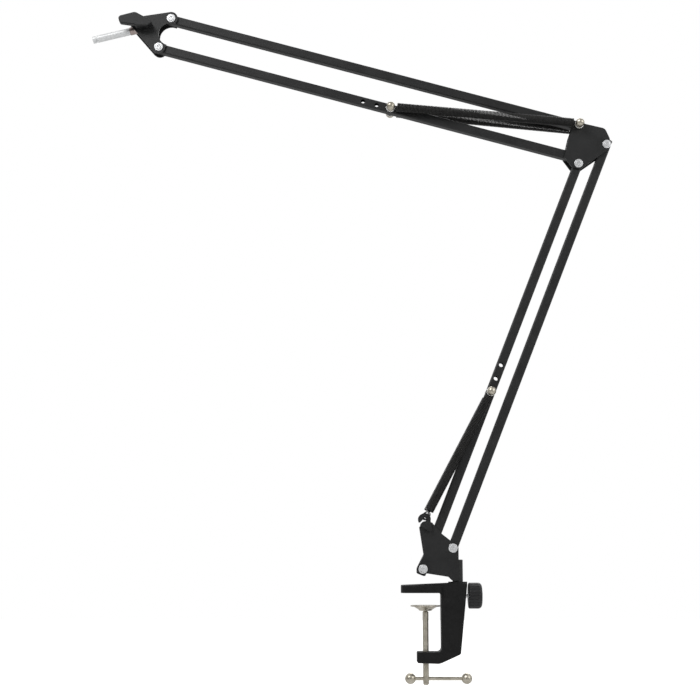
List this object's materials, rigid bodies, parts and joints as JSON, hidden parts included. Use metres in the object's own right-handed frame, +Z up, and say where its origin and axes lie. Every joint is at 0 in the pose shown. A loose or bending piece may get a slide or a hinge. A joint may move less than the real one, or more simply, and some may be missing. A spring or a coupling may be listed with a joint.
{
  "type": "boom microphone stand",
  "caption": "Desk-clamp boom stand: a swivelling post, two spring-balanced parallelogram arms of square tube and a tilting spigot for a microphone.",
  "frame": {"origin": "on the clamp screw's axis, at the underside of the upper jaw, where the desk's top face seats", "axes": "+Z up, +X away from the desk towards the lock knob, arms in the XZ plane with the spigot towards -X, lever side towards -Y"},
  "size_m": [0.5864, 0.0402, 0.7444],
  "materials": {
    "cast_black": "black powder coat over a rough casting",
    "black_paint": "satin black powder coat on steel",
    "black_oxide": "oiled black oxide spring wire",
    "zinc": "bright zinc plate",
    "nickel": "satin nickel plate, slightly warm",
    "chrome_plate": "bright chrome plate",
    "bronze": "dark bronzed thread",
    "spacer_black": "black nylon",
    "knob_black": "fine-textured black plastic"
  },
  "bodies": {
    "clamp": {"clamp_frame": "cast_black"},
    "pad": {"clamp_pad": "nickel"},
    "screw": {"clamp_screw": "nickel"},
    "bar": {"tommy_bar": "nickel", "tommy_bar_balls": "nickel"},
    "lock": {"lock_screw": "zinc", "lock_knob": "knob_black"},
    "post": {"swivel_post": "black_paint", "base_bracket": "black_paint", "base_rivets": "zinc", "base_washers": "spacer_black"},
    "lower_front": {"lower_arm_front_tube": "black_paint", "lower_spring_stud": "zinc", "lower_stud_washers": "zinc", "lower_cap_nuts": "nickel"},
    "lower_rear": {"lower_arm_rear_tube": "black_paint"},
    "lower_springs": {"lower_spring_front": "black_oxide", "lower_spring_rear": "black_oxide"},
    "lower_eyes": {"lower_spring_eye_front": "black_oxide", "lower_spring_eye_rear": "black_oxide"},
    "elbow": {"elbow_bracket": "black_paint", "elbow_rivets": "zinc", "elbow_washers": "spacer_black", "elbow_pivot_pin": "black_paint", "elbow_spring_stud": "zinc", "elbow_stud_washers": "zinc", "elbow_cap_nuts": "nickel"},
    "upper_lower": {"upper_arm_lower_tube": "black_paint", "upper_spring_stud": "zinc", "upper_stud_washers": "zinc", "upper_cap_nuts": "nickel", "upper_spring_front": "black_oxide", "upper_spring_rear": "black_oxide"},
    "upper_eyes": {"upper_spring_eye_front": "black_oxide", "upper_spring_eye_rear": "black_oxide"},
    "upper_top": {"upper_arm_upper_tube": "black_paint"},
    "head": {"head_bracket": "black_paint", "head_rivets": "zinc", "head_washers": "spacer_black", "tilt_bolt": "zinc"},
    "spigot": {"spigot_block": "black_paint", "mic_spigot": "chrome_plate", "spigot_lock_nut": "bronze"},
    "lever": {"tilt_lever": "knob_black"}
  },
  "joints": [
    {"name": "screw_turn", "type": "hinge", "parent": "pad", "child": "screw", "pos_m": [0, 0, -0.013], "axis": [0, 0, 1], "range_deg": [-12950, 3340]},
    {"name": "pad_feed", "type": "slide", "parent": "clamp", "child": "pad", "axis": [0, 0, 1], "range_m": [-0.03607, 0.00938]},
    {"name": "tommy_bar_slide", "type": "slide", "parent": "screw", "child": "bar", "axis": [1, 0, 0], "range_m": [-0.034, 0.0073]},
    {"name": "lock_knob_turn", "type": "hinge", "parent": "clamp", "child": "lock", "pos_m": [0.0458, 0, -0.003], "axis": [1, 0, 0], "range_deg": [0, 180]},
    {"name": "post_swivel", "type": "hinge", "parent": "clamp", "child": "post", "pos_m": [0.0346, 0, 0], "axis": [0, 0, 1], "continuous": true},
    {"name": "lower_arm_tilt", "type": "hinge", "parent": "post", "child": "lower_front", "pos_m": [-0.0026, 0, 0.0248], "axis": [0, 1, 0], "range_deg": [-18, 17]},
    {"name": "lower_rear_tilt", "type": "hinge", "parent": "post", "child": "lower_rear", "pos_m": [0.0296, 0, 0.047], "axis": [0, 1, 0], "range_deg": [-18, 17]},
    {"name": "elbow_level", "type": "hinge", "parent": "lower_front", "child": "elbow", "pos_m": [0.17449, 0, 0.47094], "axis": [0, 1, 0], "range_deg": [-17, 18]},
    {"name": "lower_spring_swing", "type": "hinge", "parent": "post", "child": "lower_springs", "pos_m": [-0.0004, 0, 0.0776], "axis": [0, 1, 0], "range_deg": [-23.5, 22.2], "deforming": ["lower_spring_front", "lower_spring_rear"]},
    {"name": "lower_spring_stretch", "type": "slide", "parent": "lower_springs", "child": "lower_eyes", "axis": [0.4708, 0, 0.8823], "range_m": [-0.00648, 0.00612], "deforming": ["lower_spring_eye_front", "lower_spring_eye_rear"]},
    {"name": "upper_arm_tilt", "type": "hinge", "parent": "elbow", "child": "upper_lower", "pos_m": [0.16259, 0, 0.48154], "axis": [0, 1, 0], "range_deg": [-30, 30]},
    {"name": "upper_top_tilt", "type": "hinge", "parent": "elbow", "child": "upper_top", "pos_m": [0.17599, 0, 0.51554], "axis": [0, 1, 0], "range_deg": [-30, 30]},
    {"name": "head_level", "type": "hinge", "parent": "upper_lower", "child": "head", "pos_m": [-0.29654, 0, 0.60714], "axis": [0, 1, 0], "range_deg": [-30, 30]},
    {"name": "upper_spring_stretch", "type": "slide", "parent": "upper_lower", "child": "upper_eyes", "axis": [0.9304, 0, -0.3667], "range_m": [-0.01837, 0.01837], "deforming": ["upper_spring_front", "upper_spring_rear", "upper_spring_eye_front", "upper_spring_eye_rear"]},
    {"name": "spigot_tilt", "type": "hinge", "parent": "head", "child": "spigot", "pos_m": [-0.31204, 0, 0.63264], "axis": [0, 1, 0], "range_deg": [-60, 60]},
    {"name": "lever_turn", "type": "hinge", "parent": "head", "child": "lever", "pos_m": [-0.31204, 0, 0.63264], "axis": [0, 1, 0], "range_deg": [-180, 0]}
  ],
  "couplings": [
    {"joint": "pad_feed", "follows": "screw_turn", "m_per_rad": 0.00015915},
    {"joint": "lower_rear_tilt", "follows": "lower_arm_tilt", "ratio": 1},
    {"joint": "elbow_level", "follows": "lower_arm_tilt", "ratio": -1},
    {"joint": "lower_spring_swing", "follows": "lower_arm_tilt", "ratio": 1.3},
    {"joint": "lower_spring_stretch", "follows": "lower_arm_tilt", "m_per_rad": 0.0203},
    {"joint": "upper_top_tilt", "follows": "upper_arm_tilt", "ratio": 1},
    {"joint": "head_level", "follows": "upper_arm_tilt", "ratio": -1},
    {"joint": "upper_spring_stretch", "follows": "upper_arm_tilt", "m_per_rad": -0.034898}
  ]
}
